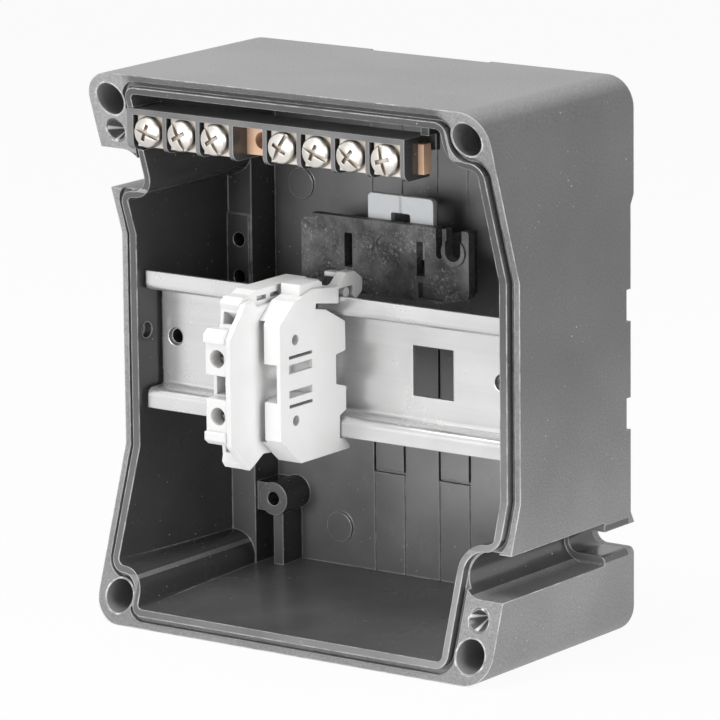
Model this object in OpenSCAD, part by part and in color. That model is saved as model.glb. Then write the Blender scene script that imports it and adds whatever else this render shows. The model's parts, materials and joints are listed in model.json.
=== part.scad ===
// Open terminal box for wall mounting: a moulded base with a stepped sealing rim,
// a top-hat rail with a terminal block and its end bracket, and a screw terminal bar.
// X runs to the right, Y from the open front to the wall, Z up. The origin lies on the
// flat underside, at mid width and mid depth of the base.

/* [Base] */
// Width of the base
body_w = 120; // [116:1:130]
// Height of the base
body_h = 140; // [136:1:156]
// Depth of the base from the wall to the front of its rim
body_d = 64; // [60:1:76]
// Radius of the four long outer corners
corner_r = 7.6; // [6:0.2:8]
// Thickness of the side walls at the rim
wall = 4.8; // [4.4:0.1:5.2]
// Thickness of the back wall
back_wall = 4; // [3:0.5:6]
// Narrowing of the cavity on each side towards the back, for release from the mould
draft = 1.8; // [0.2:0.1:2.2]
// Set-back of the rim at mid height, behind its top and bottom edges
rim_step = 14.4; // [8:0.4:16]
// Height from top or bottom at which the rim reaches its full set-back
rim_run = 43; // [38:1:46]
// Depth of the relief between the four pads on the back
pad_h = 1.4; // [0.6:0.2:2]
// Depth of the two notches in each side edge of the back
back_groove = 3.2; // [2.2:0.2:3.4]

/* [Sealing lip] */
// Width of the lip that enters the seal
lip_w = 1.7; // [1.2:0.1:2]
// Height of the lip above the rim
lip_proud = 1; // [0.4:0.2:2]
// Width of the groove round the lip
groove_w = 1.5; // [1:0.1:1.7]
// Depth of the groove round the lip
groove_depth = 1.6; // [0.8:0.2:3]

/* [Lid fixing] */
// Distance of a lid hole from the side of the base
lid_x = 6.6; // [6.2:0.1:7]
// Distance of a lid hole from the top or bottom of the base
lid_z = 6.9; // [6.4:0.1:7.2]
// Diameter of a lid hole
lid_hole_d = 8.2; // [7:0.2:8.4]
// Depth of a lid hole
lid_hole_depth = 26; // [16:1:36]
// Diameter of the core hole at the bottom of a lid hole
lid_core_d = 4.4; // [3:0.2:5]
// Width of a corner block
boss_w = 13.3; // [13:0.1:14]
// Height of a corner block
boss_h = 14.4; // [14:0.1:16]
// Diameter of a guide cone at the rim
cone_d = 5.6; // [4:0.2:5.8]
// Distance of a guide cone from the top or bottom of the base
cone_z = 15.5; // [15.2:0.1:15.8]
// Depth of a guide cone
cone_depth = 4.5; // [2.6:0.1:5]

/* [Wall fixing] */
// Height of a fixing channel
channel_h = 10.8; // [9.8:0.2:11]
// Depth of a fixing channel from the side of the base
channel_w = 12; // [10:0.2:12.2]
// Distance of the middle of a channel from the top or bottom of the base
channel_z = 25.5; // [25.3:0.1:26]
// Thickness of the flange under the screw head
flange_t = 13; // [8:0.5:16]
// Width of the open slot in the flange
slot_w = 6.2; // [5:0.2:8]
// Depth of the open slot from the side of the base
slot_depth = 10.8; // [9:0.2:11]
// Wall between a channel and the cavity
channel_wall = 2; // [1.9:0.1:2.4]

/* [Rail] */
// Height of the rail across its flanges
rail_h = 35; // [34:0.5:36]
// Depth of the rail
rail_depth = 7.5; // [7:0.5:9]
// Inside height between the flanges
rail_web = 27; // [26:0.5:28]
// Thickness of the rail sheet
rail_t = 1; // [0.8:0.1:1.2]
// Distance of the rail's flanges behind the front of the rim
rail_y = 15.6; // [15:0.2:18]
// Gap between the rail's ends and the walls
rail_gap = 1.5; // [1:0.1:3]
// Diameter of the end holes of the rail
rail_hole_d = 4.4; // [3.6:0.2:5]
// Distance of an end hole from the rail's end
rail_hole_in = 4.1; // [3.6:0.1:5]
// Width of the catch window in the rail
window_w = 12; // [10:0.5:13]
// Height of the catch window in the rail
window_h = 12.6; // [11:0.2:14]
// Place of the catch window right of the middle
window_x = 29.2; // [24:0.2:32]

/* [Terminal bar] */
// Pitch of the compartments
bar_pitch = 10.2; // [9.8:0.1:10.4]
// Thickness of the walls between compartments
bar_wall = 1.2; // [1:0.1:1.6]
// Thickness of the carrier's left end
bar_end = 2; // [1.6:0.1:2.4]
// Distance of the bar's left end from the left side of the base
bar_left = 11.5; // [11.3:0.1:12]
// Distance of the bar's top from the top of the base
bar_top = 8.7; // [8.2:0.1:9]
// Height of the bar's carrier
bar_h = 10.5; // [10.2:0.1:11]
// Depth of the carrier's front behind the front of the rim
bar_front = 2.4; // [1.6:0.2:3.4]
// Thickness of the carrier's top and back
bar_skin = 1.5; // [1.2:0.1:1.7]
// Depth of the copper's face behind the carrier's front
copper_in = 5.9; // [5.7:0.1:8]
// Height of the copper bar
copper_h = 7.4; // [6:0.2:7.6]
// Thickness of the copper bar
copper_t = 3; // [2:0.2:4]
// Length of copper that stands out at the right end
copper_out = 1.6; // [1:0.2:5]
// Diameter of a bar screw's head
head_d = 7.9; // [7:0.1:8]
// Height of a bar screw's head
head_h = 2.6; // [2:0.1:2.8]
// Diameter of a bar screw's shank
shank_d = 4; // [3.5:0.1:4.2]
// Length of a bar screw's shank
shank_l = 8; // [7.4:0.1:9]
// Side of a square clamp plate
plate_w = 7.8; // [7:0.1:7.9]
// Thickness of a clamp plate
plate_t = 1.1; // [0.8:0.1:1.3]
// Height of a screw head's face in front of the carrier
head_out = 1.5; // [0.6:0.1:1.6]

/* [Terminal block] */
// Width of the terminal block
block_w = 5.9; // [5.5:0.1:7]
// Place of the block's left face from the middle of the base
block_x = -8.2; // [-12:0.2:-6]
// Reach of the block in front of the rail
block_reach = 36.4; // [35:0.2:40]
// Thickness of the block's moulded side wall
block_skin = 1; // [0.8:0.1:1.2]
// Thickness of the end plate
end_plate_t = 1.5; // [1:0.1:2]
// Distance of a clamp screw from the middle of the rail
clamp_z = 7.1; // [6.9:0.1:7.3]
// Diameter of a screw access hole
access_d = 4.4; // [3.8:0.1:4.4]
// Diameter of a clamp screw's head
clamp_head_d = 3.8; // [3.2:0.1:3.8]
// Diameter of a clamp screw's shank
clamp_shank_d = 2.5; // [2:0.1:2.6]

/* [End bracket] */
// Width of the end bracket
end_w = 6.8; // [6:0.2:8]
// Reach of the end bracket in front of the rail
end_reach = 24.5; // [23:0.5:27]
// Reach of the release hook behind the rail's flange
hook_reach = 9.8; // [8.6:0.2:10.4]
// Diameter of the eyes in the side face
eye_d = 2.6; // [2:0.2:3]

/* [Support bracket] */
// Width of the support bracket
support_w = 51; // [46:0.5:54]
// Height of the support bracket
support_h = 19; // [18:0.5:21]
// Thickness of the support bracket's plate
support_t = 2.6; // [2:0.2:3.4]
// Distance of its plate in front of the back wall
support_out = 16; // [14:0.5:18]
// Place of its middle left of the middle of the base
support_left = 0.8; // [0:0.2:2]
// Height of its lower edge above the underside of the base
support_z = 82; // [80:0.5:84]
// Width of the nylon clip
clip_w = 19.8; // [18:0.2:22]
// Height of the nylon clip above the support bracket
clip_rise = 6.4; // [4:0.2:8]
// Thickness of the nylon clip
clip_t = 1.6; // [1.2:0.2:3]

/* [Hidden] */

black = [0.06, 0.06, 0.065];
steel = [0.72, 0.72, 0.7];
plated = [0.8, 0.79, 0.76];
copper = [0.85, 0.5, 0.3];
off_white = [0.9, 0.9, 0.88];
nylon = [0.84, 0.87, 0.92];

// Over-run of a cut past the face that it opens
cut = 1;
// Small gap between pieces that seat on each other
seat = 0.15;
// Number of compartments in the terminal bar
bar_count = 8;

front_y = -body_d / 2;
back_y = body_d / 2;
side_x = body_w / 2;
floor_y = back_y - back_wall;
cavity_d = floor_y - front_y;
rail_face = front_y + rail_y;
rail_back = rail_face + rail_depth;
rail_z = body_h / 2 + 0.2;
rail_len = body_w - 2 * (wall + rail_gap);
rail_hole_x = rail_len / 2 - rail_hole_in;

// Vector of length one
function unit(v) = v / norm(v);

// Sum of a list of numbers
function total(list) = list * [for (x = list) 1];

// Place of corner i of an outline
function corner(path, i) = let (p = path[(i + len(path)) % len(path)]) [p[0], p[1]];

// One for an outline given anticlockwise and minus one for the other way
function way(path) = sign(total([for (i = [1:len(path)]) cross(corner(path, i - 1), corner(path, i))]));

// Piece between corner b with legs u and v and the round of radius r in it
module corner_piece(b, u, v, r) {
    over = 0.2;
    half = acos(u * v) / 2;
    // A round between slanted legs meets them at a slight angle, one between square legs runs out into them
    reach = abs(u * v) < 0.0001 ? r : r * cos(7);
    leg = reach / tan(half);
    middle = b + unit(u + v) * reach / sin(half);
    grow = 1 + over / reach;
    difference() {
        polygon([
            b - unit(u + v) * over / sin(half), middle + (b + u * leg - middle) * grow,
            middle, middle + (b + v * leg - middle) * grow
        ]);
        translate(middle) circle(r, $fn = 64);
    }
}

// Those pieces of an outline whose corners turn the given way
module corner_pieces(path, turn) {
    for (i = [0:len(path) - 1]) {
        b = corner(path, i);
        u = unit(corner(path, i - 1) - b);
        v = unit(corner(path, i + 1) - b);
        if (path[i][2] > 0 && cross(u, v) * turn < 0) corner_piece(b, u, v, path[i][2]);
    }
}

// Area inside an outline whose corners are given as [x, y, radius]
module round_area(path) {
    difference() {
        union() {
            polygon([for (p = path) [p[0], p[1]]]);
            corner_pieces(path, -way(path));
        }
        corner_pieces(path, way(path));
    }
}

// Extrudes an outline in X and Z from depth y0 to depth y1
module along_y(y0, y1) {
    translate([0, y1, 0]) rotate([90, 0, 0]) linear_extrude(y1 - y0) children();
}

// Extrudes an outline in Y and Z from x0 to x1
module along_x(x0, x1) {
    translate([x0, 0, 0]) rotate([90, 0, 90]) linear_extrude(x1 - x0) children();
}

// Round bar or hole along Y
module rod_y(x, z, y0, y1, d, fn = 48) {
    translate([x, y0, z]) rotate([-90, 0, 0]) cylinder(d = d, h = y1 - y0, $fn = fn);
}

// Block between two corners
module block(low, high) {
    translate(low) cube(high - low);
}

// The same shape again, turned half a turn about the base's middle line
module point_pair() {
    children();
    translate([0, 0, body_h]) rotate([0, 180, 0]) children();
}

// The same shape again on the other side of the middle plane
module side_pair() {
    children();
    mirror([1, 0, 0]) children();
}

// Base

// Rounding where a corner block meets a wall
block_fillet = 2.2;
block_end_r = 1.4;
boss_r = boss_w - wall - block_fillet - 0.2;
channel_block_w = channel_w + channel_wall;
channel_block_h = channel_z + channel_h / 2 + channel_wall;
channel_r = channel_block_w - wall - block_fillet - 0.2;

// Half of the cavity's outline, moved outwards by d: lower right, then upper right
function cavity_half(d) = [
    [side_x - channel_block_w + d, wall - d, block_end_r + d],
    [side_x - channel_block_w + d, channel_block_h - d, channel_r - d],
    [side_x - wall + d, channel_block_h - d, block_fillet + d],
    [side_x - wall + d, body_h - boss_h + d, block_fillet + d],
    [side_x - boss_w + d, body_h - boss_h + d, boss_r - d],
    [side_x - boss_w + d, body_h - wall + d, block_end_r + d]
];

// Whole outline of the cavity, the second half turned by half a turn
function cavity(d) = concat(
    cavity_half(d), [for (p = cavity_half(d)) [-p[0], body_h - p[1], p[2]]]);

// All that lies behind the stepped rim, moved forward by f
module behind_rim(f) {
    low = -cut;
    high = body_h + cut;
    step = front_y + rim_step - f;
    along_x(-side_x - cut, side_x + cut)
        polygon([
            [back_y + cut, low], [back_y + cut, high], [front_y - f, high],
            [front_y - f, body_h], [step, body_h - rim_run], [step, rim_run], [front_y - f, 0],
            [front_y - f, low]
        ]);
}

// Space inside the walls, narrower at the back
module cavity_space() {
    far = front_y - 2 * cut - lip_proud;
    grow = draft * (front_y - far) / cavity_d;
    in_x = side_x - wall;
    intersection() {
        along_y(far, floor_y) round_area(cavity(0));
        along_x(-side_x, side_x)
            polygon([
                [far, wall - grow], [floor_y, wall + draft],
                [floor_y, body_h - wall - draft], [far, body_h - wall + grow]
            ]);
        linear_extrude(body_h)
            polygon([
                [-in_x - grow, far], [in_x + grow, far], [in_x - draft, floor_y], [draft - in_x, floor_y]
            ]);
    }
}

// Outer block with its lip and the groove round it
module shell() {
    difference() {
        union() {
            intersection() {
                along_y(front_y - cut, back_y)
                    round_area([
                        [side_x, 0, corner_r], [side_x, body_h, corner_r],
                        [-side_x, body_h, corner_r], [-side_x, 0, corner_r]
                    ]);
                behind_rim(0);
            }
            intersection() {
                along_y(front_y - 2 * cut - lip_proud, back_y - cut) round_area(cavity(lip_w));
                behind_rim(lip_proud);
            }
        }
        cavity_space();
        difference() {
            along_y(front_y - cut, front_y + rim_step + groove_depth + cut) groove_outline();
            behind_rim(-groove_depth);
        }
    }
}

// Groove round the lip, stopped by a thin collar at each lid hole
module groove_outline() {
    collar = 0.5;
    difference() {
        round_area(cavity(lip_w + groove_w));
        round_area(cavity(lip_w));
        for (x = [-1, 1], z = [lid_z, body_h - lid_z])
            translate([x * (side_x - lid_x), z]) circle(d = lid_hole_d + 2 * collar, $fn = 32);
    }
}

// Outline of a slot of the given height, open at the right side
module side_slot(h, depth, mouth_r = 0) {
    r = h / 2;
    translate([side_x - depth + r, channel_z]) circle(r, $fn = 48);
    translate([side_x - depth + r, channel_z - r]) square([depth - r + cut, h]);
    if (mouth_r > 0) corner_piece([side_x, channel_z - r], [-1, 0], [0, -1], mouth_r);
}

// Channel for a wall screw, with the open slot through its flange
module fixing_channel() {
    along_y(front_y - 2 * cut - lip_proud, back_y - flange_t) side_slot(channel_h, channel_w);
    along_y(back_y - flange_t - cut, back_y + cut) side_slot(slot_w, slot_depth, 1.6);
}

// Stepped hole for a lid screw and, beside a channel, the guide cone
module lid_hole(x, z) {
    core_depth = lid_hole_depth + 10;
    rod_y(x, z, front_y - cut, front_y + lid_hole_depth, lid_hole_d);
    rod_y(x, z, front_y, front_y + core_depth, lid_core_d);
}

module guide_cone() {
    rim = front_y + rim_step * cone_z / rim_run;
    lead = 1.5;
    tip_d = 0.8;
    slope = (cone_d - tip_d) / cone_depth;
    translate([side_x - lid_x + 0.6, rim - lead, cone_z]) rotate([-90, 0, 0])
        cylinder(d1 = cone_d + slope * lead, d2 = tip_d, h = cone_depth + lead, $fn = 48);
}

// Relief between the pads on the back, with two notches in each side edge
module back_relief() {
    pad_z = channel_z + slot_w / 2 + 0.3;
    slope = 2.6;
    past = slope * cut / pad_h;
    notch_h = 8;
    notch_w = 6;
    notch_z = 13.6;
    top_relief_w = 36;
    along_x(-side_x - cut, side_x + cut)
        polygon([
            [back_y - pad_h, pad_z + slope], [back_y + cut, pad_z - past],
            [back_y + cut, body_h - pad_z + past], [back_y - pad_h, body_h - pad_z - slope]
        ]);
    block([-top_relief_w / 2, back_y - pad_h, -cut], [top_relief_w / 2, back_y + cut, body_h + cut]);
    side_pair() for (z = [-notch_z, notch_z])
        translate([side_x, back_y, body_h / 2 + z])
            block([-notch_w, -back_groove, -notch_h / 2], [cut, cut, notch_h / 2]);
}

pillar_front = floor_y - 10;
pillar_w = 13.7;
ledge_h = 18;
screw_boss_x = side_x - 19.4;
screw_boss_z = 24;
screw_boss_d = 8.6;

// Corner pillar, rail ledge and screw boss on the right side of the back wall
module inner_posts() {
    root = side_x - wall + cut;
    in_x = side_x - pillar_w;
    post_w = 3;
    pad_low = 79;
    pad_high = 97;
    pad_t = 0.5;
    difference() {
        union() {
            block([in_x, pillar_front, wall], [root, floor_y + cut, body_h - wall]);
            block([in_x + 0.6, pillar_front - pad_t, pad_low], [root, floor_y, pad_high]);
            block([in_x, rail_back, rail_z - ledge_h / 2], [root, floor_y + cut, rail_z + ledge_h / 2]);
            rod_y(screw_boss_x, screw_boss_z, pillar_front, floor_y + cut, screw_boss_d);
            block(
                [screw_boss_x, pillar_front + 1, screw_boss_z - screw_boss_d / 2 + 0.6],
                [in_x + cut, floor_y + cut, screw_boss_z + screw_boss_d / 2 - 0.6]);
            block(
                [screw_boss_x - post_w / 2, pillar_front + 2, wall],
                [screw_boss_x + post_w / 2, floor_y + cut, screw_boss_z]);
        }
        post_holes();
    }
}

// Screw holes in the pillar, the ledge and the boss
module post_holes() {
    hole_d = 3.6;
    depth = 8;
    pad_holes = [80.8, 90.4];
    for (z = pad_holes)
        rod_y(side_x - 10, z, pillar_front - cut, pillar_front + depth, hole_d);
    rod_y(rail_hole_x, rail_z, rail_back - cut, rail_back + depth, hole_d);
    rod_y(screw_boss_x, screw_boss_z, pillar_front - cut, pillar_front + depth, hole_d);
}

// Hangers from the top wall that carry the terminal bar at both ends
module bar_hangers() {
    hanger_w = 2.4;
    hanger_d = 3;
    y1 = bar_y + bar_depth;
    for (x = [bar_x0, bar_x1 - 0.4])
        block([x, y1 - hanger_d, bar_z1], [x + hanger_w, y1, body_h - wall + cut]);
    block([bar_x1 - 0.4, y1, bar_z1 - 4], [bar_x1 - 0.4 + hanger_w, y1 + 1.6, body_h - wall + cut]);
}

// Low pad inside the top wall, near the left end of the terminal bar
module wall_pad() {
    pad_t = 0.4;
    translate([-35, front_y + 3, body_h - wall]) block([0, 0, -pad_t], [6.6, 2.6, cut]);
}

// Cut in the corner block that takes the bar's left end
module bar_pocket() {
    gap = 0.3;
    block(
        [bar_x0 - gap, front_y - 2 * cut - lip_proud, bar_z0 - gap],
        [-side_x + channel_block_w + cut, bar_y + bar_depth + gap, bar_z1 + gap]);
}

// Round marks on the face of the back wall
module back_wall_marks() {
    mark_h = 0.6;
    mark_d = 7.8;
    for (p = [[-37.7, 104.5], [-26.7, 16.6]])
        rod_y(p[0], p[1], floor_y - mark_h, floor_y + cut, mark_d);
}

// Slots of two spring tongues in the back wall and the fine lines that run on from them
module tongue_slots() {
    tongue_w = 9.2;
    tongue_l = 34;
    slot = 0.7;
    slot_depth = 1.2;
    line = 0.3;
    line_depth = 0.3;
    foot_z = 32.4;
    for (x = [-11.1, 8.9]) {
        for (s = [-1, 1]) translate([x + s * tongue_w / 2, floor_y, 0]) {
            block([-slot / 2, -cut, foot_z], [slot / 2, slot_depth, foot_z + tongue_l]);
            block([-line / 2, -cut, wall], [line / 2, line_depth, body_h - wall - draft - cut]);
        }
        translate([x, floor_y, foot_z]) block([-tongue_w / 2, -cut, 0], [tongue_w / 2, slot_depth, slot]);
    }
}

module base() {
    wall_dimple_d = 4;
    color(black) difference() {
        union() {
            shell();
            side_pair() inner_posts();
            bar_hangers();
            wall_pad();
            back_wall_marks();
        }
        point_pair() {
            fixing_channel();
            guide_cone();
        }
        for (x = [lid_x - side_x, side_x - lid_x], z = [lid_z, body_h - lid_z]) lid_hole(x, z);
        back_relief();
        bar_pocket();
        tongue_slots();
        translate([-side_x + wall - 2, rail_face + 1.4, rail_z + 2]) rotate([0, 90, 0])
            cylinder(d = wall_dimple_d, h = 4, $fn = 32);
    }
}

// Rail

module din_rail() {
    in_h = rail_web / 2;
    out_h = rail_h / 2;
    bend = 0.9;
    outer = bend + rail_t;
    f = rail_face;
    b = rail_back;
    strip = [
        [f, out_h, 0], [f, in_h - rail_t, outer], [b - rail_t, in_h - rail_t, bend],
        [b - rail_t, rail_t - in_h, bend], [f, rail_t - in_h, outer], [f, -out_h, 0],
        [f + rail_t, -out_h, 0], [f + rail_t, -in_h, bend], [b, -in_h, outer],
        [b, in_h, outer], [f + rail_t, in_h, bend], [f + rail_t, out_h, 0]
    ];
    color(steel) difference() {
        translate([0, 0, rail_z]) along_x(-rail_len / 2, rail_len / 2) round_area(strip);
        for (x = [-rail_hole_x, rail_hole_x])
            rod_y(x, rail_z, rail_back - rail_t - cut, rail_back + cut, rail_hole_d);
        block(
            [window_x - window_w / 2, rail_back - rail_t - cut, rail_z - window_h / 2],
            [window_x + window_w / 2, rail_back + cut, rail_z + window_h / 2]);
    }
}

// Support bracket and its clip

support_face = floor_y - support_out;
support_top = support_z + support_h;

module support_bracket() {
    half = support_w / 2;
    back = support_face + support_t;
    notch_x = half - 4.4;
    notch_w = 4.6;
    notch_h = 5.5;
    rim_t = 1.2;
    slit_w = 1.9;
    slit_h = 6.7;
    leg_t = 2.4;
    leg_in = 5;
    right_leg = half - 11;
    slot_x = 11;
    slot_h = 8.6;
    pocket_x0 = half - 15.3;
    pocket_x1 = half - 7.7;
    slit_x = notch_x - notch_w / 2 - rim_t - slit_w / 2;
    color(black) translate([-support_left, 0, 0]) difference() {
        union() {
            along_y(support_face, back)
                round_area([
                    [-half, support_z, 0.6], [half - 8, support_z, 0], [half, support_z + 2, 1],
                    [half, support_top, 0.8], [-half + 3, support_top, 1.5], [-half, support_top - 2, 1]
                ]);
            for (x = [-half + leg_in, right_leg])
                block([x, back - cut, support_z], [x + leg_t, floor_y, support_top - 3]);
            block([-half + leg_in, back - cut, support_z], [right_leg + cut, floor_y - 4, support_z + 2]);
            rod_y(notch_x, support_top - notch_h, support_face - 0.6, back, notch_w + 2 * rim_t);
        }
        along_y(support_face - cut, back + cut) {
            translate([notch_x, support_top - notch_h]) circle(d = notch_w, $fn = 32);
            translate([notch_x - notch_w / 2, support_top - notch_h]) square([notch_w, notch_h + cut]);
            translate([slit_x, support_top - slit_h]) circle(d = slit_w, $fn = 24);
            translate([slit_x - slit_w / 2, support_top - slit_h]) square([slit_w, slit_h + cut]);
        }
        for (x = [-slot_x, slot_x]) {
            block(
                [x - 1.2, support_face - cut, support_top - 4 - slot_h],
                [x + 1.2, back + cut, support_top - 4]);
        }
        block(
            [pocket_x0, support_face - cut, support_z + 0.8],
            [pocket_x1, support_face + 2, support_z + 4.8]);
        rod_y(0, support_top - 6, support_face - cut, support_face + 0.3, 4.8);
    }
}

// Sprung clip with two legs behind the plate and a crease down the middle of its crown
module nylon_clip() {
    x0 = -7.5;
    top = support_top + clip_rise;
    y0 = support_face + support_t;
    leg_w = 7;
    cut_top = support_top + 2;
    low = support_top - 9;
    crease = 0.5;
    xm = x0 + clip_w / 2;
    r = 1.2;
    color(nylon) difference() {
        along_y(y0, y0 + clip_t)
            round_area([
                [x0, top, r], [x0, low, 0.6], [x0 + leg_w, low, 0.6], [x0 + leg_w, cut_top, 0.6],
                [x0 + clip_w - leg_w, cut_top, 0.6], [x0 + clip_w - leg_w, low, 0.6],
                [x0 + clip_w, low, 0.6], [x0 + clip_w, top, r]
            ]);
        translate([xm, y0, cut_top - cut]) linear_extrude(clip_rise + cut)
            polygon([[-crease, -0.01], [crease, -0.01], [0, crease]]);
    }
}

// Terminal bar

bar_x0 = -side_x + bar_left;
bar_first = bar_x0 + bar_end - bar_wall;
bar_x1 = bar_first + bar_count * bar_pitch + bar_wall;
bar_y = front_y + bar_front;
bar_z1 = body_h - bar_top;
bar_z0 = bar_z1 - bar_h;
copper_y = bar_y + copper_in;
bar_depth = copper_in + copper_t + bar_skin + seat;
clamp_bar_z = bar_z1 - bar_skin - plate_w / 2 - seat;
head_y = bar_y - head_out;
plate_y = head_y + head_h;

// Middle of compartment i, counted from 1 at the left
function bar_x(i) = bar_first + bar_wall / 2 + (i - 0.5) * bar_pitch;

module bar_carrier() {
    tip_r = 2.4;
    y1 = bar_y + bar_depth;
    back_y0 = y1 - bar_skin;
    clear_d = shank_d + 1;
    color(black) difference() {
        union() {
            block([bar_x0, bar_y, bar_z1 - bar_skin], [bar_x1, y1, bar_z1]);
            block([bar_x0, back_y0, bar_z0 + 1], [bar_x1, y1, bar_z1]);
            for (i = [0:bar_count])
                along_x(i == 0 ? bar_x0 : bar_first + i * bar_pitch, bar_first + i * bar_pitch + bar_wall)
                    round_area([
                        [bar_y, bar_z0, tip_r], [y1, bar_z0, 0], [y1, bar_z1, 0], [bar_y, bar_z1, 0]
                    ]);
        }
        copper_passage();
        for (i = [1:bar_count]) rod_y(bar_x(i), clamp_bar_z, back_y0 - cut, y1 + cut, clear_d);
    }
}

// Passage for the copper through the walls of the carrier
module copper_passage() {
    block(
        [bar_x0 + bar_end, copper_y - seat, clamp_bar_z - copper_h / 2 - seat],
        [bar_x1 + cut, copper_y + copper_t + seat, clamp_bar_z + copper_h / 2 + seat]);
}

module copper_bar() {
    run = 0.05;
    color(copper) difference() {
        block(
            [bar_x0 + bar_end + seat, copper_y, clamp_bar_z - copper_h / 2],
            [bar_x1 + copper_out, copper_y + copper_t, clamp_bar_z + copper_h / 2]);
        for (i = [1:bar_count])
            rod_y(bar_x(i), clamp_bar_z, copper_y - cut, copper_y + copper_t + cut, shank_d + 2 * run);
    }
}

module clamp_plate(i) {
    half = plate_w / 2;
    lip = 0.5;
    color(plated) difference() {
        union() {
            translate([bar_x(i), plate_y, clamp_bar_z]) block([-half, 0, -half], [half, plate_t, half]);
            translate([bar_x(i), plate_y + plate_t, clamp_bar_z])
                for (s = [-1, 1]) translate([s * (half - 0.4) - 0.4, 0, -half]) cube([0.8, lip, plate_w]);
        }
        rod_y(bar_x(i), clamp_bar_z, plate_y - cut, plate_y + plate_t + cut, shank_d + 0.4);
    }
}

// Pan-head screw with a slot and cross recess, at compartment i
module bar_screw(i) {
    dome_r = 9;
    slot = 1;
    recess = 1.3;
    turn = [20, 62, 58, 0, 118, 25, 40, 75][i - 1];
    r = head_d / 2;
    color(plated) translate([bar_x(i), 0, clamp_bar_z]) difference() {
        union() {
            translate([0, plate_y, 0]) rotate([90, 0, 0]) rotate_extrude($fn = 48) intersection() {
                round_area([[0, 0, 0], [r, 0, 0], [r, head_h, 0.75 * head_h], [0, head_h, 0]]);
                translate([0, head_h - dome_r]) circle(dome_r, $fn = 96);
            }
            rod_y(0, 0, plate_y - 0.2, plate_y + shank_l, shank_d);
        }
        rotate([0, turn, 0]) {
            block([-r - cut, head_y - cut, -slot / 2], [r + cut, head_y + recess, slot / 2]);
            block([-slot / 2, head_y - cut, -r + 1.8], [slot / 2, head_y + recess, r - 1.8]);
        }
    }
}

// Terminal block

block_x1 = block_x + block_w;
chamber_front = 30;
chamber_back = 15.6;
yoke_l = 8.4;
yoke_w = block_w - block_skin - 0.4;
yoke_h = 6;
yoke_t = 1;
yoke_front = 26.6;
current_f = 21.2;
current_t = 1;

// Place of an outline given as [reach in front of the rail, height from the rail's middle]
module on_rail() {
    translate([0, rail_face, rail_z]) children();
}

// Turns corners given as [reach, height, radius] into an outline in Y and Z
function profile(path) = [for (p = path) [-p[0], p[1], p[2]]];

// Corners in reverse order, mirrored about the rail's middle
function below(path) = [for (i = [len(path) - 1:-1:0]) [path[i][0], -path[i][1], path[i][2]]];

// Upper front of the block: screw boss with its lip, wire entry and brow above it
function block_front(f) = [
    [29.2, 18.1, 0.5], [29.6, 13.7, 0.8], [f - 1.7, 14.3, 0.9], [f, 13, 0.6], [f, 10.9, 0.3],
    [f - 0.9, 10.9, 0], [f - 0.9, 2.9, 0.3], [f - 4, 2.9, 0]
];

// Foot that hooks over the rail's upper flange, from the back of the block's top
function block_foot(hook_z, foot) = [
    [foot, rail_web / 2 - 2.4, 0], [seat, rail_web / 2 - 2.4, 0], [seat, rail_h / 2 + seat, 0],
    [-rail_t - seat, rail_h / 2 + seat, 0], [-rail_t - seat, rail_h / 2 - 1.7, 0],
    [foot - 0.7, rail_h / 2 - 1.7, 0.5], [foot - 0.7, hook_z, 0.8]
];

// Outline of the block from the side
function block_outline(f) = let (hook_z = rail_h / 2 + 3.1, foot = -2.5) concat(
    block_front(f), below(block_front(f)),
    [
        [29.6, -19.7, 0.6], [28.3, -21.4, 0.4], [26.8, -20.7, 0.5], [22.6, -18.2, 1.2], [16.7, -18.8, 1],
        [2, -hook_z, 0]
    ],
    below(block_foot(hook_z, foot)), block_foot(hook_z, foot),
    [
        [2.2, hook_z, 0.3], [2.2, 22.1, 0.5], [22.7, 22.1, 0.6], [25, 21.2, 0.4], [27.9, 21, 0.6],
        [29.6, 19.7, 0.6]
    ]);

module terminal_body() {
    pocket_x = block_x + block_skin;
    open_x = block_x1 + cut;
    f = block_reach;
    tag_x = pocket_x + 1.4;
    color(off_white) on_rail() difference() {
        union() {
            difference() {
                along_x(block_x, block_x1) round_area(profile(block_outline(f)));
                block([pocket_x, -f - cut, -2.3], [open_x, 8 - f + cut, 2.3]);
            }
            block([tag_x, 5.4 - f, -0.5], [tag_x + 1.2, 10 - f, 0.5]);
        }
        for (s = [-1, 1]) {
            block(
                [pocket_x, -chamber_front, s * clamp_z - yoke_h / 2 - 0.5],
                [open_x, -chamber_back, s * clamp_z + yoke_h / 2 + 0.5]);
            rod_y((pocket_x + block_x1) / 2, s * clamp_z, -f - cut, -chamber_front + cut, access_d);
            funnel(s, pocket_x, open_x);
        }
        block(
            [pocket_x, -current_f - current_t - 0.2, -clamp_z - yoke_h / 2 - 0.5],
            [open_x, -current_f + 0.2, clamp_z + yoke_h / 2 + 0.5]);
        block([pocket_x, -12.6, -9], [open_x, -4.5, 9]);
        for (y = [-22.5, -17.1])
            block([block_x1 - 1.4, y, 19.4], [open_x, y + 3.8, 20.5]);
    }
}

// Passage for a wire from the entry above a screw boss down into a clamp
module funnel(s, x0, x1) {
    mirror([0, 0, s < 0 ? 1 : 0])
        along_x(x0, x1)
            round_area(profile([
                [30.8, 14.4, 0], [30.8, 17.7, 0], [28.3, 17.2, 0.8], [22.6, 12.6, 0.8],
                [22.6, clamp_z, 0], [25.6, clamp_z, 0], [25.6, 12, 0.8], [28.4, 14.4, 0.8]
            ]));
}

module end_plate() {
    peg_d = 2.2;
    color(off_white) on_rail() difference() {
        along_x(block_x1, block_x1 + end_plate_t) round_area(profile(plate_outline(block_reach - 0.9)));
        for (s = [-1, 1])
            translate([block_x1 - cut, -9, s * 13]) rotate([0, 90, 0])
                cylinder(d = peg_d, h = end_plate_t + 2 * cut, $fn = 32);
    }
}

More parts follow.
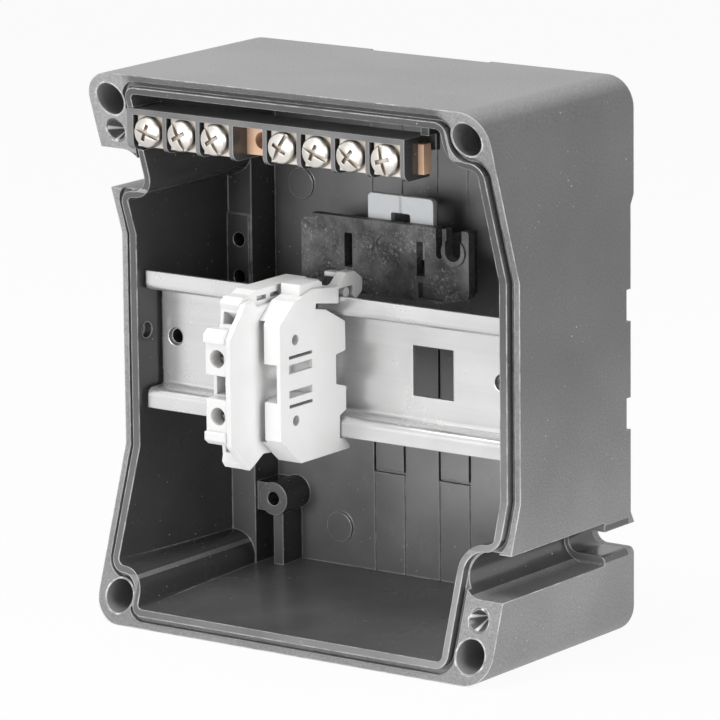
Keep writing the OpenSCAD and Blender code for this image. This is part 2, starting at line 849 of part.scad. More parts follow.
// Outline of the end plate, which leaves the block's brow, window and feet free
function plate_outline(f) = [
    [f, 12.2, 0.6], [f, -14.3, 0.6], [29.4, -20.6, 0.5], [28.4, -21.4, 0.4], [26.8, -20.7, 0.5],
    [22.6, -18.2, 1.2], [16.7, -18.8, 1], [0.4, -18.8, 0.4], [0.4, 18.3, 0.4], [24.4, 18.3, 0.6],
    [25.9, 20.3, 0.6], [29.1, 19.9, 0.5], [31, 17.2, 0.5]
];

// Flat bar through both clamps, wider where the block holds it
module current_bar() {
    x0 = block_x + block_skin;
    narrow = 1.1;
    half = clamp_z + yoke_h / 2 + 0.2;
    grip = 2.8;
    color(copper) on_rail() {
        block([x0 + narrow, -current_f - current_t, -half], [block_x1 - narrow, -current_f, half]);
        block([x0, -current_f - current_t, -grip], [block_x1, -current_f, grip]);
    }
}

// Rectangular clamp cage round the current bar, s = 1 above and -1 below
module yoke(s) {
    x0 = block_x + block_skin + 0.2;
    xm = x0 + yoke_w / 2;
    z = s * clamp_z;
    thread_run = 0.1;
    color(plated) on_rail() difference() {
        block([x0, -yoke_front, z - yoke_h / 2], [x0 + yoke_w, -yoke_front + yoke_l, z + yoke_h / 2]);
        block(
            [x0 + 0.7, -yoke_front + yoke_t, z - yoke_h / 2 - cut],
            [x0 + yoke_w - 0.7, -yoke_front + yoke_l - yoke_t, z + yoke_h / 2 + cut]);
        rod_y(xm, z, -yoke_front - cut, -yoke_front + yoke_t + cut, clamp_shank_d + thread_run);
    }
}

module upper_yoke() {
    yoke(1);
}

module lower_yoke() {
    yoke(-1);
}

// Slotted clamp screw whose tip stands on the current bar
module clamp_screw(s) {
    xm = block_x + block_skin + 0.2 + yoke_w / 2;
    z = s * clamp_z;
    head_f = 31.6;
    head_l = 1.9;
    color(plated) on_rail() difference() {
        union() {
            rod_y(xm, z, -head_f, -head_f + head_l, clamp_head_d);
            rod_y(xm, z, -head_f + head_l - 0.2, -current_f - current_t - 0.1, clamp_shank_d);
        }
        block([xm - clamp_head_d, -head_f - cut, z - 0.35], [xm + clamp_head_d, -head_f + 0.9, z + 0.35]);
    }
}

module upper_screw() {
    clamp_screw(1);
}

module lower_screw() {
    clamp_screw(-1);
}

// End bracket

end_x0 = block_x1 + end_plate_t;
end_x1 = end_x0 + end_w;

// Outline of the end bracket with its sprung arm, slit from the body at the top
function bracket_outline(f) = [
    [f, 14.5, 0.5], [f, -14.2, 0.5], [16.5, -21, 0.8], [-4.3, -21, 0.5], [-1.4, -rail_h / 2 - 0.3, 0],
    [0.3, -rail_h / 2 - 0.3, 0], [0.3, -rail_web / 2 + 1.4, 0], [-2.3, -rail_web / 2 + 2.4, 0],
    [-2.4, -5.2, 0.5], [1.7, -4, 0.5], [1.7, 3.4, 0.5], [-2.3, 3.8, 0.5],
    [-2.2, rail_web / 2 - 2.4, 0], [5.7, 15.3, 0.5], [9.9, 16.1, 0.3], [9.7, 17.5, 0.3],
    [0.3, 15.9, 0.4], [0.3, 20, 0.4], [9.8, 21.1, 2], [f - 6, 19.2, 1]
];

// Hook that runs from the arm's end over the rail's flange and down behind it
function hook_outline(b) = [
    [2.6, 19.2, 0], [2.6, 20.1, 0], [0.2, 20.4, 0.4], [-3, 23, 0.6], [-b + 3.6, 23, 2.4],
    [-b, 20.6, 2], [-b + 0.4, 17.4, 1.2], [-b + 2.9, 15.8, 0.5], [-b + 4.4, 17, 0.5], [-b + 3.9, 19.5, 0.8],
    [0.2, 19.5, 0]
];

module end_bracket() {
    f = end_reach;
    b = hook_reach;
    hook_w = 2.8;
    pin = [-3.6, 17.9];
    pin_d = 2.6;
    block_w = 5.6;
    strip_w = 2;
    color(off_white) on_rail() difference() {
        union() {
            along_x(end_x0, end_x1) round_area(profile(bracket_outline(f)));
            along_x(end_x1 - hook_w, end_x1) round_area(profile(hook_outline(b)));
            along_x(end_x0, end_x1)
                round_area(profile([
                    [-3.2, 22.6, 0.4], [-b + 4, 22.6, 0.4], [-b + 4, 21.4, 0.3], [-3.2, 21.4, 0.3]
                ]));
            block([end_x1 - hook_w - 0.8, 2, 16.4], [end_x1 - hook_w + 0.2, b - 2, 20]);
            translate([end_x1 - hook_w - 0.4, -pin[0], pin[1]]) rotate([0, 90, 0])
                cylinder(d = pin_d, h = hook_w - 0.2, $fn = 32);
            along_x(end_x0, end_x0 + block_w)
                round_area(profile([
                    [14.7, 18, 0], [5.5, 18, 0], [5.5, 22, 0.5], [7, 22.7, 0.5], [14.7, 22.7, 0.5]
                ]));
        }
        for (z = [-10, 10])
            translate([end_x1 - 3, -f + 6.2, z]) rotate([0, 90, 0])
                cylinder(d = eye_d, h = 3 + cut, $fn = 32);
        for (z = [[5.5, 6.3], [1.9, 4.1], [-4.1, -2.3], [-6.6, -5.8]])
            block([end_x0 - cut, -f + 3.6, z[0]], [end_x1 + cut, -f + 13, z[1]]);
        block([end_x0 - cut, -f - cut, -4.8], [end_x1 - 1.1, -f + 14, 4.6]);
        block([end_x0 - cut, -f - cut, -15], [end_x0 + strip_w, -f + 3.4, 15]);
    }
}

base();
din_rail();
support_bracket();
nylon_clip();
bar_carrier();
copper_bar();
clamp_plate(1);  // clamp_plate_1
clamp_plate(2);  // clamp_plate_2
clamp_plate(3);  // clamp_plate_3
clamp_plate(5);  // clamp_plate_5
clamp_plate(6);  // clamp_plate_6
clamp_plate(7);  // clamp_plate_7
clamp_plate(8);  // clamp_plate_8
bar_screw(1);  // bar_screw_1
bar_screw(2);  // bar_screw_2
bar_screw(3);  // bar_screw_3
bar_screw(5);  // bar_screw_5
bar_screw(6);  // bar_screw_6
bar_screw(7);  // bar_screw_7
bar_screw(8);  // bar_screw_8
terminal_body();
end_plate();
current_bar();
upper_yoke();
lower_yoke();
upper_screw();
lower_screw();
end_bracket();
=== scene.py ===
import json
import math

import bpy
from mathutils import Matrix, Vector


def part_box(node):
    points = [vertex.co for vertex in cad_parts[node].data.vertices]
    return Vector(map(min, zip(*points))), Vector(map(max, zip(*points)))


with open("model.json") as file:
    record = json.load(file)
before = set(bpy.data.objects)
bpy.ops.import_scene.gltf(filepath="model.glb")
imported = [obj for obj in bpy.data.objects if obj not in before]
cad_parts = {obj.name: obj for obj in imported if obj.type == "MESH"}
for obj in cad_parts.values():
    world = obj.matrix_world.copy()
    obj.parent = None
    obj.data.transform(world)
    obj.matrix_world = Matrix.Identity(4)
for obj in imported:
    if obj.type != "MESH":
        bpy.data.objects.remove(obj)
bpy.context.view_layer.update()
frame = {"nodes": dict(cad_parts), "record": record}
MM = 0.001


# Camera

CAMERA_YAW = math.radians(35.901)
CAMERA_PITCH = math.radians(12.22)
CAMERA_ROLL = math.radians(-0.592)
CAMERA_DISTANCE = 1.498715
CAMERA_TARGET = Vector((1.58, -2.0, 68.776)) * MM
CAMERA_LENS = 303.75
CAMERA_SENSOR = 36.0


def make_camera():
    """Camera at the photograph's viewing angle."""
    cp = math.cos(CAMERA_PITCH)
    back = Vector((math.sin(CAMERA_YAW) * cp, -math.cos(CAMERA_YAW) * cp, math.sin(CAMERA_PITCH)))
    right = Vector((math.cos(CAMERA_YAW), math.sin(CAMERA_YAW), 0.0))
    up = back.cross(right)
    x_axis = right * math.cos(CAMERA_ROLL) + up * math.sin(CAMERA_ROLL)
    y_axis = up * math.cos(CAMERA_ROLL) - right * math.sin(CAMERA_ROLL)
    data = bpy.data.cameras.new("camera")
    data.lens = CAMERA_LENS
    data.sensor_width = CAMERA_SENSOR
    data.clip_start = 0.1
    data.clip_end = 20.0
    camera = bpy.data.objects.new("camera", data)
    matrix = Matrix((x_axis, y_axis, back)).transposed().to_4x4()
    matrix.translation = CAMERA_TARGET + back * CAMERA_DISTANCE
    camera.matrix_world = matrix
    bpy.context.scene.collection.objects.link(camera)
    bpy.context.scene.camera = camera


# Materials

class Nodes:
    """Shorthand for building one node material."""

    def __init__(self, name):
        self.material = bpy.data.materials.new(name)
        self.material.use_nodes = True
        self.tree = self.material.node_tree
        self.shader = self.tree.nodes["Principled BSDF"]
        self.place = self.add("ShaderNodeTexCoord").outputs["Object"]

    def add(self, kind, **settings):
        """New node, with its own settings or the values of its inputs by name."""
        node = self.tree.nodes.new(kind)
        for key, value in settings.items():
            if hasattr(node, key):
                setattr(node, key, value)
            else:
                node.inputs[key].default_value = value
        return node

    def link(self, out, socket):
        self.tree.links.new(out, socket)

    def fill(self, socket, value):
        """Links a socket, or sets it to a plain number or colour."""
        if isinstance(value, bpy.types.NodeSocket):
            self.link(value, socket)
        elif isinstance(value, tuple):
            socket.default_value = (*value, 1.0)
        else:
            socket.default_value = value

    def stretched(self, scale):
        """Object coordinates with a scale of their own on each axis."""
        node = self.add("ShaderNodeMapping")
        node.inputs["Scale"].default_value = scale
        self.link(self.place, node.inputs["Vector"])
        return node.outputs["Vector"]

    def noise(self, scale, detail=3.0, rough=0.55, place=None):
        """Cloudy noise over the object's own coordinates, or over stretched ones."""
        node = self.add("ShaderNodeTexNoise")
        node.inputs["Scale"].default_value = scale
        node.inputs["Detail"].default_value = detail
        node.inputs["Roughness"].default_value = rough
        self.link(place or self.place, node.inputs["Vector"])
        return node.outputs["Fac"]

    def dots(self, scale):
        """Distance to the nearest of many scattered points."""
        node = self.add("ShaderNodeTexVoronoi")
        node.inputs["Scale"].default_value = scale
        self.link(self.place, node.inputs["Vector"])
        return node.outputs["Distance"]

    def ramp(self, value, stops):
        """Grey or coloured ramp from (position, colour) pairs."""
        node = self.add("ShaderNodeValToRGB")
        ramp = node.color_ramp
        while len(ramp.elements) < len(stops):
            ramp.elements.new(0.5)
        for element, (position, colour) in zip(ramp.elements, stops):
            element.position = position
            if not isinstance(colour, tuple):
                colour = (colour, colour, colour)
            element.color = (*colour, 1.0)
        self.link(value, node.inputs["Fac"])
        return node.outputs["Color"]

    def tone(self, value, low, high, start=0.3, end=0.7):
        """Ramp between two tones, over the middle of a noise."""
        return self.ramp(value, [(start, low), (end, high)])

    def mix(self, factor, a, b, mode="MIX"):
        """Mixes a second colour into a first by a factor, in one of the mix modes."""
        node = self.add("ShaderNodeMix", data_type="RGBA", blend_type=mode)
        self.fill(node.inputs[0], factor)
        self.fill(node.inputs[6], a)
        self.fill(node.inputs[7], b)
        return node.outputs[2]

    def tinted(self, a, b):
        """One colour multiplied by another."""
        return self.mix(1.0, a, b, "MULTIPLY")

    def math(self, operation, *values):
        """One sum or comparison of sockets and plain numbers."""
        node = self.add("ShaderNodeMath", operation=operation)
        for socket, value in zip(node.inputs, values):
            self.fill(socket, value)
        return node.outputs[0]

    def both(self, *masks):
        """Where all the masks are one."""
        product = masks[0]
        for mask in masks[1:]:
            product = self.math("MULTIPLY", product, mask)
        return product

    def either(self, *masks):
        """Where at least one of the masks is one."""
        largest = masks[0]
        for mask in masks[1:]:
            largest = self.math("MAXIMUM", largest, mask)
        return largest

    def soft_edges(self, radius):
        """Normal rounded over the edges, as on a moulded or rolled edge."""
        return self.add("ShaderNodeBevel", samples=8, Radius=radius).outputs["Normal"]

    def painted_hollow_shade(self, reach, dark):
        """Painted shade: a value that falls from white to dark in corners and recesses within the
        reach.
        """
        node = self.add("ShaderNodeAmbientOcclusion", samples=8)
        node.inputs["Distance"].default_value = reach
        return self.ramp(node.outputs["AO"], [(0.15, dark), (0.85, 1.0)])

    def edges(self, rounded):
        """One along the edges that a rounded normal softens, nought on flat faces."""
        node = self.add("ShaderNodeVectorMath", operation="DOT_PRODUCT")
        self.link(rounded, node.inputs[0])
        self.link(self.add("ShaderNodeNewGeometry").outputs["Normal"], node.inputs[1])
        return self.ramp(node.outputs["Value"], [(0.76, 1.0), (0.96, 0.0)])

    def near(self, place, middle, reach):
        """One within the reach of a point, nought beyond it."""
        node = self.add("ShaderNodeVectorMath", operation="DISTANCE")
        self.link(place, node.inputs[0])
        node.inputs[1].default_value = middle
        return self.math("LESS_THAN", node.outputs["Value"], reach)

    def rise(self, value, span):
        """Rises from nought at the start of a span to one at its end, either way round."""
        node = self.add("ShaderNodeMapRange")
        self.link(value, node.inputs["Value"])
        node.inputs["From Min"].default_value, node.inputs["From Max"].default_value = span
        return node.outputs["Result"]

    def parts(self, vector):
        """The X, Y and Z outputs of a vector."""
        node = self.add("ShaderNodeSeparateXYZ")
        self.link(vector, node.inputs[0])
        return node.outputs

    def facing(self, axis, way):
        """One on faces turned the given way along an axis, nought on the others."""
        normal = self.parts(self.add("ShaderNodeNewGeometry").outputs["Normal"])
        return self.ramp(self.math("MULTIPLY", normal[axis], way), [(0.6, 0.0), (0.9, 1.0)])

    def beyond(self, axis, span):
        """Rises from nought to one over a span along an axis."""
        return self.rise(self.parts(self.place)[axis], span)

    def bump(self, height, strength, distance, normal=None):
        """Normal with fine relief, on top of another normal if there is one."""
        node = self.add("ShaderNodeBump")
        node.inputs["Strength"].default_value = strength
        node.inputs["Distance"].default_value = distance
        self.link(height, node.inputs["Height"])
        if normal:
            self.link(normal, node.inputs["Normal"])
        return node.outputs["Normal"]

    def finish(self, color, rough, normal=None, metallic=0.0, **extra):
        """Feeds the shader and returns the finished material."""
        for socket, value in (("Base Color", color), ("Roughness", rough)):
            self.link(value, self.shader.inputs[socket])
        if normal:
            self.link(normal, self.shader.inputs["Normal"])
        self.shader.inputs["Metallic"].default_value = metallic
        for key, value in extra.items():
            self.shader.inputs[key.replace("_", " ")].default_value = value
        return self.material


# Box and mounts of the base, from the frame, in metres

(LEFT, FRONT, BOTTOM), (RIGHT, BACK, TOP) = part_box("base")
MIDDLE_HEIGHT = (BOTTOM + TOP) / 2
HALF_HEIGHT = (TOP - BOTTOM) / 2
MOUNTS = {mount["name"]: mount for mount in frame["record"]["mounts"]}
LID_SCREWS = MOUNTS["lid_screws"]["dims"]
LOWER_SLOT_HEIGHT = MOUNTS["lower_fixing_slot"]["pos_m"][2]

# Places near a corner, with all four folded into one and heights measured from the middle

LID_HOLE = (LID_SCREWS["spacing_x_mm"] / 2 * MM, 0.0, LID_SCREWS["spacing_y_mm"] / 2 * MM)
LID_HOLE_MARGIN = 0.00005
LID_HOLE_REACH = LID_SCREWS["hole_r_mm"] * MM + LID_HOLE_MARGIN
GUIDE_CONE = (RIGHT - 0.006, 0.0, HALF_HEIGHT - 0.0155)
GUIDE_CONE_REACH = 0.0028
WORN_RING = 0.0004
LIP_INSET = 0.0032
SIDE_WALL = RIGHT - LIP_INSET
END_WALL = HALF_HEIGHT - LIP_INSET
CORNER_ACROSS = RIGHT - 0.0122
CORNER_ALONG = HALF_HEIGHT - 0.0127
CORNER_LONGER = 0.0185
CHANNEL_ALONG = MIDDLE_HEIGHT - LOWER_SLOT_HEIGHT
CHANNEL_HALF = 0.0047

# Spans over which the tone of the base changes, from nought to full

BACK_PADS_Y = (BACK - 0.0026, BACK - 0.0024)
DEEP_Y = (BACK - 0.033, BACK - 0.031)
# Dust and painted light on the back wall and the floor; painted shade leaves the upper left of the
# back wall dark
DUST_AND_LIGHT_Z = (BOTTOM - 0.014, BOTTOM + 0.036)
LIT_X = (LEFT + 0.008, LEFT + 0.03)
LIT_Z = (MIDDLE_HEIGHT + 0.01, MIDDLE_HEIGHT - 0.01)
FLOOR_Z = (BOTTOM + 0.014, BOTTOM + 0.006)
FLOOR_Y = (FRONT - 0.023, BACK - 0.012)
# Painted highlight on the back wall below the rail
UNDER_RAIL_FROM_Z = (BOTTOM + 0.02, BOTTOM + 0.036)
UNDER_RAIL_TO_Z = (MIDDLE_HEIGHT, MIDDLE_HEIGHT - 0.018)
UNDER_RAIL_X = (LEFT + 0.045, RIGHT - 0.03)
# Painted highlight on the lip towards the lower right
LIP_LOW_Z = (TOP - 0.05, BOTTOM + 0.02)
LIP_RIGHT_X = (LEFT - 0.04, RIGHT - 0.01)
# Painted light: lower sides and upper rim lighter
SIDE_LOW_Z = (MIDDLE_HEIGHT + 0.005, BOTTOM + 0.025)
RIM_Z = (BOTTOM, TOP)
RIM_RIGHT_X = (RIGHT - 0.015, RIGHT - 0.006)
RIM_RIGHT_FROM_Z = (BOTTOM + 0.03, BOTTOM + 0.04)
RIM_RIGHT_TO_Z = (TOP + 0.005, TOP - 0.035)
RIM_TOP_Z = (TOP - 0.0068, TOP - 0.0058)
RIM_TOP_ACROSS = (RIGHT - 0.0115, RIGHT - 0.0145)


def corner_place(n):
    """Folded place, its distances across and along, and one in the corners with a channel."""
    place = n.parts(n.place)
    height = n.math("SUBTRACT", place["Z"], MIDDLE_HEIGHT)
    across = n.math("ABSOLUTE", place["X"])
    along = n.math("ABSOLUTE", height)
    folded = n.add("ShaderNodeCombineXYZ")
    n.link(across, folded.inputs["X"])
    n.link(along, folded.inputs["Z"])
    with_channel = n.math("LESS_THAN", n.math("MULTIPLY", place["X"], height), 0.0)
    return folded.outputs["Vector"], across, along, with_channel


def lid_holes(n, margin=0.0):
    """One in the lid holes, and as far round them as the margin."""
    return n.near(corner_place(n)[0], LID_HOLE, LID_HOLE_REACH + margin)


def guide_cones(n, margin=0.0):
    """One in the guide cones, and as far round them as the margin."""
    folded, _, _, with_channel = corner_place(n)
    return n.both(n.near(folded, GUIDE_CONE, GUIDE_CONE_REACH + margin), with_channel)


def painted_cone_glints(n):
    """Painted glints: pale streaks that run down the guide cones, on a dark ground."""
    _, across, along, _ = corner_place(n)
    angle = n.math("ARCTAN2", n.math("SUBTRACT", along, GUIDE_CONE[2]),
                   n.math("SUBTRACT", across, GUIDE_CONE[0]))
    wave = n.math("SINE", n.math("MULTIPLY_ADD", angle, 4.0, 0.6))
    return n.ramp(wave, [(0.55, 0.1), (0.95, 0.85)])


def outside_of_box(n):
    """One on the outer faces and the rim outside the sealing lip, nought within and in holes."""
    _, across, along, with_channel = corner_place(n)
    walls = n.either(n.math("GREATER_THAN", across, SIDE_WALL),
                     n.math("GREATER_THAN", along, END_WALL))
    channel = n.both(n.math("COMPARE", along, CHANNEL_ALONG, CHANNEL_HALF), with_channel)
    hollow = n.either(lid_holes(n), guide_cones(n), channel)
    start = n.math("MULTIPLY_ADD", with_channel, -CORNER_LONGER, CORNER_ALONG)
    corners = n.math("MINIMUM", n.math("GREATER_THAN", across, CORNER_ACROSS),
                     n.math("GREATER_THAN", along, start))
    front = n.math("SUBTRACT", n.either(walls, corners), hollow)
    return n.either(front, n.facing("Y", 1.0), n.beyond("Y", BACK_PADS_Y))


def dust_specks(n):
    """Small pale specks, gathered in patches, with finer ones between them."""
    speck = n.ramp(n.dots(420.0), [(0.0, 1.0), (0.05, 1.0), (0.1, 0.0)])
    patch = n.ramp(n.noise(45.0, 2.0), [(0.46, 0.0), (0.62, 1.0)])
    fine = n.ramp(n.dots(900.0), [(0.0, 0.7), (0.05, 0.5), (0.11, 0.0)])
    spread = n.ramp(n.noise(90.0, 2.0), [(0.42, 0.0), (0.62, 1.0)])
    return n.mix(1.0, n.tinted(speck, patch), n.tinted(fine, spread), "ADD")


def inner_tone(n, cloud, front, deep):
    """Tone of the cavity: black walls, dust and painted light on the back wall and the floor, a
    painted highlight under the rail and on the lip, painted glints in the guide cones and painted
    light in the lid holes.
    """
    back_wall = n.both(front, deep)
    # Dust and painted light on the back wall and floor; painted shade keeps the back wall's upper
    # left dark
    lit_part = n.either(n.beyond("X", LIT_X), n.beyond("Z", LIT_Z))
    dust_and_light_on_back_wall = n.both(back_wall, n.beyond("Z", DUST_AND_LIGHT_Z), lit_part)
    floor = n.both(n.facing("Z", 1.0), n.beyond("Z", FLOOR_Z), n.beyond("Y", FLOOR_Y))
    tone = n.mix(n.either(dust_and_light_on_back_wall, floor), n.tone(cloud, 0.05, 0.075, 0.35, 0.75),
                 n.tone(cloud, 0.16, 0.26))
    # Painted highlight on the back wall below the rail
    highlight_under_rail = n.both(n.beyond("Z", UNDER_RAIL_FROM_Z), n.beyond("Z", UNDER_RAIL_TO_Z),
                        n.beyond("X", UNDER_RAIL_X), back_wall)
    tone = n.mix(highlight_under_rail, tone, n.tone(cloud, 0.38, 0.52))
    # Painted highlight on the lip towards the lower right
    lip_highlight_low_right = n.both(n.beyond("Z", LIP_LOW_Z), n.beyond("X", LIP_RIGHT_X))
    lip_tone = n.mix(lip_highlight_low_right, n.tone(cloud, 0.06, 0.1), n.tone(cloud, 0.2, 0.28))
    tone = n.mix(n.both(front, n.math("SUBTRACT", 1.0, deep)), tone, lip_tone)
    # Painted glints in the guide cones
    tone = n.mix(guide_cones(n), tone, painted_cone_glints(n))
    # Painted light inside the lid holes
    return n.mix(lid_holes(n), tone, n.tone(cloud, 0.24, 0.34))


def outer_tone(n, cloud, front, grain):
    """Tone of the grained outer faces and of the rim, darker along the top and the right, with
    painted light that makes the lower sides, the top face and the upper rim lighter.
    """
    # Painted light: the sides lighter towards the bottom, the top face lighter than the sides
    side = n.mix(n.beyond("Z", SIDE_LOW_Z), n.tone(cloud, 0.076, 0.11), n.tone(cloud, 0.17, 0.24))
    side = n.mix(n.facing("Z", 1.0), side, n.tone(cloud, 0.165, 0.23))
    # Painted light: the rim lighter towards the top
    rim = n.mix(n.beyond("Z", RIM_Z), n.tone(cloud, 0.19, 0.25), n.tone(cloud, 0.31, 0.41))
    right_side = n.both(n.beyond("X", RIM_RIGHT_X), n.beyond("Z", RIM_RIGHT_FROM_Z),
                        n.beyond("Z", RIM_RIGHT_TO_Z))
    rim = n.mix(right_side, rim, n.tone(cloud, 0.17, 0.23))
    between_holes = n.rise(corner_place(n)[1], RIM_TOP_ACROSS)
    along_top = n.both(n.beyond("Z", RIM_TOP_Z), between_holes)
    rim = n.mix(along_top, rim, n.tone(cloud, 0.1, 0.15))
    return n.tinted(n.mix(front, side, rim), n.tone(grain, 0.72, 1.28))


def wear_and_highlight_places(n, rounded, front, deep):
    """One on edges with wear and a painted highlight, less so deep inside, and on chipped rings
    round the holes.
    """
    patchy_edges = n.ramp(n.noise(260.0, 4.0), [(0.32, 0.25), (0.6, 1.0)])
    edge_wear_and_highlight = n.tinted(n.edges(rounded), patchy_edges)
    edge_wear_and_highlight = n.mix(deep, edge_wear_and_highlight, n.tinted(edge_wear_and_highlight, (0.55, 0.55, 0.55)))
    ring = n.either(n.math("SUBTRACT", lid_holes(n, WORN_RING), lid_holes(n)),
                    n.math("SUBTRACT", guide_cones(n, WORN_RING), guide_cones(n)))
    chipped = n.ramp(n.noise(420.0, 3.0), [(0.44, 0.0), (0.6, 0.8)])
    return n.either(edge_wear_and_highlight, n.tinted(n.both(ring, front), chipped))


def housing_black(name):
    """Black moulding, glossy within and grained to a dull grey on its outer faces."""
    n = Nodes(name)
    outer = outside_of_box(n)
    rounded = n.soft_edges(0.0007)
    grain = n.noise(1900.0, 2.0, 0.75)
    cloud = n.noise(30.0, 4.0)
    front = n.facing("Y", -1.0)
    deep = n.beyond("Y", DEEP_Y)
    color = n.mix(outer, inner_tone(n, cloud, front, deep), outer_tone(n, cloud, front, grain))
    color = n.mix(dust_specks(n), color, (0.5, 0.5, 0.49))
    # Edge wear with painted highlights, and chipped rings round the holes
    color = n.mix(wear_and_highlight_places(n, rounded, front, deep), color, (0.9, 0.9, 0.9))
    scuffs = n.noise(60.0, 5.0)
    rough = n.mix(outer, n.tone(scuffs, 0.18, 0.3, 0.3, 0.75), n.tone(scuffs, 0.34, 0.44, 0.3, 0.75))
    normal = n.bump(n.noise(9.0, 1.0), 0.05, 0.001, rounded)
    normal = n.bump(n.mix(outer, (0.5, 0.5, 0.5), grain), 0.14, 0.00006, normal)
    return n.finish(color, rough, normal, IOR=1.6)


def carrier_black(name):
    """Black glossy moulding of the terminal bar, with painted light on its front and top faces and
    painted highlights on its edges.
    """
    n = Nodes(name)
    rounded = n.soft_edges(0.0004)
    cloud = n.noise(60.0, 4.0)
    # Painted light: the front faces lighter, the top faces lighter still
    tone = n.mix(n.facing("Y", -1.0), n.tone(cloud, 0.055, 0.08, 0.35, 0.75),
                 n.tone(cloud, 0.16, 0.25, 0.35, 0.75))
    tone = n.mix(n.facing("Z", 1.0), tone, n.tone(cloud, 0.3, 0.44, 0.35, 0.75))
    color = n.mix(dust_specks(n), tone, (0.4, 0.4, 0.39))
    # Painted highlights along the edges
    color = n.mix(n.edges(rounded), color, (0.6, 0.6, 0.6))
    rough = n.tone(n.noise(90.0, 4.0), 0.14, 0.26, 0.3, 0.75)
    normal = n.bump(n.noise(500.0, 2.0), 0.05, 0.00005, rounded)
    return n.finish(color, rough, normal, IOR=1.6)


def speckled_black(name):
    """Filled black plastic with pale haze and gathered flecks."""
    n = Nodes(name)
    rounded = n.soft_edges(0.0004)
    haze = n.ramp(n.noise(90.0, 6.0, 0.65), [(0.38, 0.035), (0.66, 0.23)])
    fleck = n.ramp(n.noise(1100.0, 5.0, 0.8), [(0.52, 0.0), (0.66, 1.0)])
    patch = n.ramp(n.noise(120.0, 5.0, 0.7), [(0.42, 0.0), (0.6, 1.0)])
    color = n.mix(n.tinted(fleck, patch), haze, (0.5, 0.5, 0.5))
    color = n.mix(n.edges(rounded), color, (0.26, 0.26, 0.26))
    rough = n.tone(n.noise(300.0, 3.0), 0.4, 0.6)
    return n.finish(color, rough, n.bump(n.noise(1500.0, 2.0), 0.15, 0.0001, rounded))


def rolled_steel(name):
    """Rail steel: rolling lines along its length and soft stains."""
    n = Nodes(name)
    lines = n.noise(1.0, 3.0, 0.5, n.stretched((5.0, 700.0, 700.0)))
    stains = n.noise(38.0, 4.0)
    tone = n.tone(lines, (0.65, 0.65, 0.65), (0.74, 0.74, 0.735))
    color = n.mix(0.35, tone, n.tone(stains, 0.58, 0.74, 0.35, 0.65))
    rough = n.tone(stains, 0.2, 0.3)
    normal = n.bump(lines, 0.02, 0.00004, n.soft_edges(0.0005))
    return n.finish(color, rough, normal, 0.7)


def plated_metal(name):
    """Nickel-plated screw metal with small scratches, and painted brown shade in its recesses."""
    n = Nodes(name)
    tone = n.tone(n.noise(220.0, 3.0), (0.6, 0.57, 0.535), (0.76, 0.73, 0.69))
    # Painted shade in the recesses, tinted brown
    color = n.tinted(tone, n.painted_hollow_shade(0.0025, (0.5, 0.44, 0.38)))
    rough = n.tone(n.noise(500.0, 3.0), 0.34, 0.46, 0.3, 0.75)
    normal = n.bump(n.noise(350.0, 2.0), 0.02, 0.00003, n.soft_edges(0.0003))
    return n.finish(color, rough, normal, 1.0)


def bare_copper(name):
    """Drawn copper, a little darker in stains."""
    n = Nodes(name)
    lines = n.noise(1.0, 3.0, 0.6, n.stretched((14.0, 700.0, 700.0)))
    tone = n.tone(n.noise(70.0, 3.0), (0.96, 0.6, 0.4), (0.98, 0.66, 0.46))
    color = n.mix(0.2, tone, n.tone(lines, (0.82, 0.47, 0.3), (0.98, 0.68, 0.48)))
    rough = n.tone(lines, 0.36, 0.5)
    return n.finish(color, rough, n.bump(lines, 0.03, 0.00004, n.soft_edges(0.0003)), 0.05)


def pale_plastic(name, dark, light, gloss, scatter):
    """Pale polyamide: soft mottling and a fine satin grain, with painted shade in its corners and
    recesses.
    """
    n = Nodes(name)
    tone = n.tone(n.noise(70.0, 4.0), dark, light)
    # Painted shade in corners and recesses
    color = n.tinted(tone, n.painted_hollow_shade(0.0025, 0.55))
    rough = n.tone(n.noise(200.0, 3.0), gloss, gloss + 0.15)
    normal = n.bump(n.noise(1400.0, 2.0), 0.06, 0.00005, n.soft_edges(0.0003))
    n.shader.inputs["Subsurface Radius"].default_value = (0.002, 0.0018, 0.0016)
    n.shader.inputs["Subsurface Scale"].default_value = 0.6
    return n.finish(color, rough, normal, Subsurface_Weight=scatter)


def make_materials():
    """Materials by the record's slot names."""
    return {
        "housing_black": housing_black("housing_black"),
        "carrier_black": carrier_black("carrier_black"),
        "bracket_black": speckled_black("bracket_black"),
        "nylon": pale_plastic("nylon", (0.86, 0.89, 0.92), (0.9, 0.93, 0.96), 0.35, 0.25),
        "rail_steel": rolled_steel("rail_steel"),
        "copper": bare_copper("copper"),
        "plated": plated_metal("plated"),
        "off_white": pale_plastic("off_white", (0.8, 0.8, 0.795), (0.85, 0.85, 0.85), 0.38, 0.12),
    }


# Stage and light

FLOOR_HALF = 4.0
FLOOR_DROP = 0.0002
FLOOR_WHITE_SHARE = 0.94
WORLD_STRENGTH = 0.24
LIGHT_AIM = (0.0, 0.0, MIDDLE_HEIGHT)
LIGHTS = (
    # name, place, size, power
    ("front", (-0.2, -1.3, 0.2), (0.6, 0.4), 7.2),
    ("right", (1.15, -0.16, 0.38), (0.8, 0.6), 9.2),
    ("top", (-0.15, -0.2, 0.8), (0.5, 0.5), 4.2),
)


def rays(tree, *kinds):
    """One for the named kinds of ray, nought for the others."""
    path = tree.nodes.new("ShaderNodeLightPath")
    seen = path.outputs[kinds[0]]
    for kind in kinds[1:]:
        node = tree.nodes.new("ShaderNodeMath")
        node.operation = "MAXIMUM"
        tree.links.new(seen, node.inputs[0])
        tree.links.new(path.outputs[kind], node.inputs[1])
        seen = node.outputs[0]
    return seen


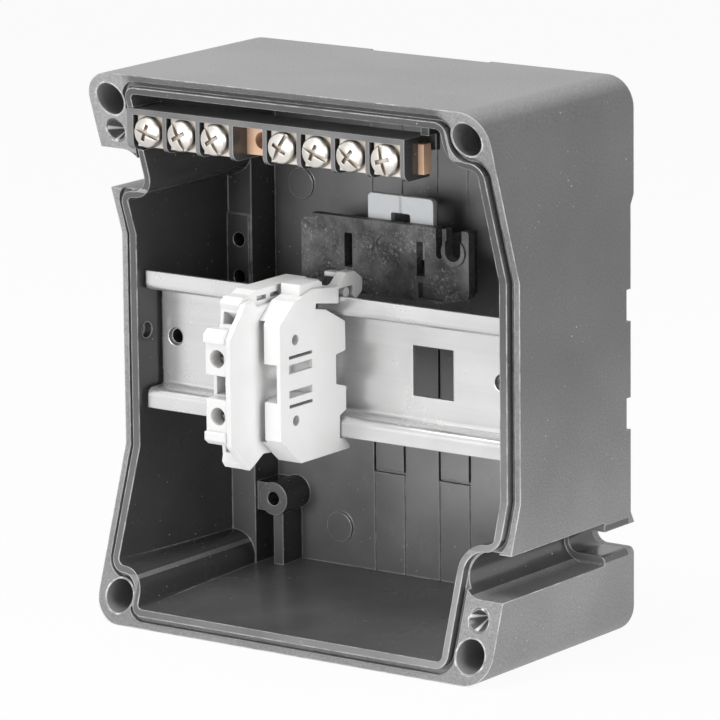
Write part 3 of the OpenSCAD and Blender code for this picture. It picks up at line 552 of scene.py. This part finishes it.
def blend_shaders(tree, factor, usual, white, surface):
    """Shows one shader where the factor is nought and the other where it is one."""
    blend = tree.nodes.new("ShaderNodeMixShader")
    for out, socket in zip((factor, usual, white), blend.inputs):
        tree.links.new(out, socket)
    tree.links.new(blend.outputs[0], surface)


def make_stage():
    """Pale floor that reads white, with the part's own shadow on it."""
    mesh = bpy.data.meshes.new("floor")
    corners = [(-1, -1), (1, -1), (1, 1), (-1, 1)]
    mesh.from_pydata([(x * FLOOR_HALF, y * FLOOR_HALF, 0) for x, y in corners], [], [(0, 1, 2, 3)])
    floor = bpy.data.objects.new("floor", mesh)
    floor.location.z = -FLOOR_DROP
    bpy.context.scene.collection.objects.link(floor)
    n = Nodes("floor")
    n.finish(n.tone(n.noise(3.0, 2.0), 0.78, 0.8), n.tone(n.noise(40.0, 2.0), 0.8, 0.9))
    white = n.add("ShaderNodeEmission", Strength=1.0)
    seen = rays(n.tree, "Is Glossy Ray", "Is Transmission Ray", "Is Camera Ray")
    share = n.math("MULTIPLY", seen, FLOOR_WHITE_SHARE)
    surface = n.tree.nodes["Material Output"].inputs["Surface"]
    blend_shaders(n.tree, share, n.shader.outputs[0], white.outputs[0], surface)
    mesh.materials.append(n.material)


def area_light(name, place, size, power):
    """Soft rectangular lamp that points at the part."""
    data = bpy.data.lights.new(name, "AREA")
    data.shape = "RECTANGLE"
    data.size, data.size_y = size
    data.energy = power
    light = bpy.data.objects.new(name, data)
    light.location = place
    light.rotation_euler = (Vector(LIGHT_AIM) - Vector(place)).to_track_quat("-Z", "Y").to_euler()
    bpy.context.scene.collection.objects.link(light)


def make_world():
    """Soft pale surroundings, white where they are seen or mirrored."""
    world = bpy.data.worlds.new("world")
    bpy.context.scene.world = world
    world.use_nodes = True
    tree = world.node_tree
    sky = tree.nodes["Background"]
    sky.inputs["Color"].default_value = (0.9, 0.9, 0.9, 1.0)
    sky.inputs["Strength"].default_value = WORLD_STRENGTH
    white = tree.nodes.new("ShaderNodeBackground")
    white.inputs["Color"].default_value = (1.0, 1.0, 1.0, 1.0)
    white.inputs["Strength"].default_value = 1.0
    seen = rays(tree, "Is Camera Ray", "Is Glossy Ray")
    surface = tree.nodes["World Output"].inputs["Surface"]
    blend_shaders(tree, seen, sky.outputs[0], white.outputs[0], surface)


# Part

def dress_nodes(materials):
    """Gives every CAD node its material."""
    slots = {s["node"]: s["material_slot"] for s in frame["record"]["subparts"]}
    for name, obj in frame["nodes"].items():
        obj.data.materials.clear()
        obj.data.materials.append(materials[slots[name]])


bpy.context.scene.view_settings.view_transform = "Standard"
make_camera()
make_stage()
for lamp in LIGHTS:
    area_light(*lamp)
make_world()
dress_nodes(make_materials())
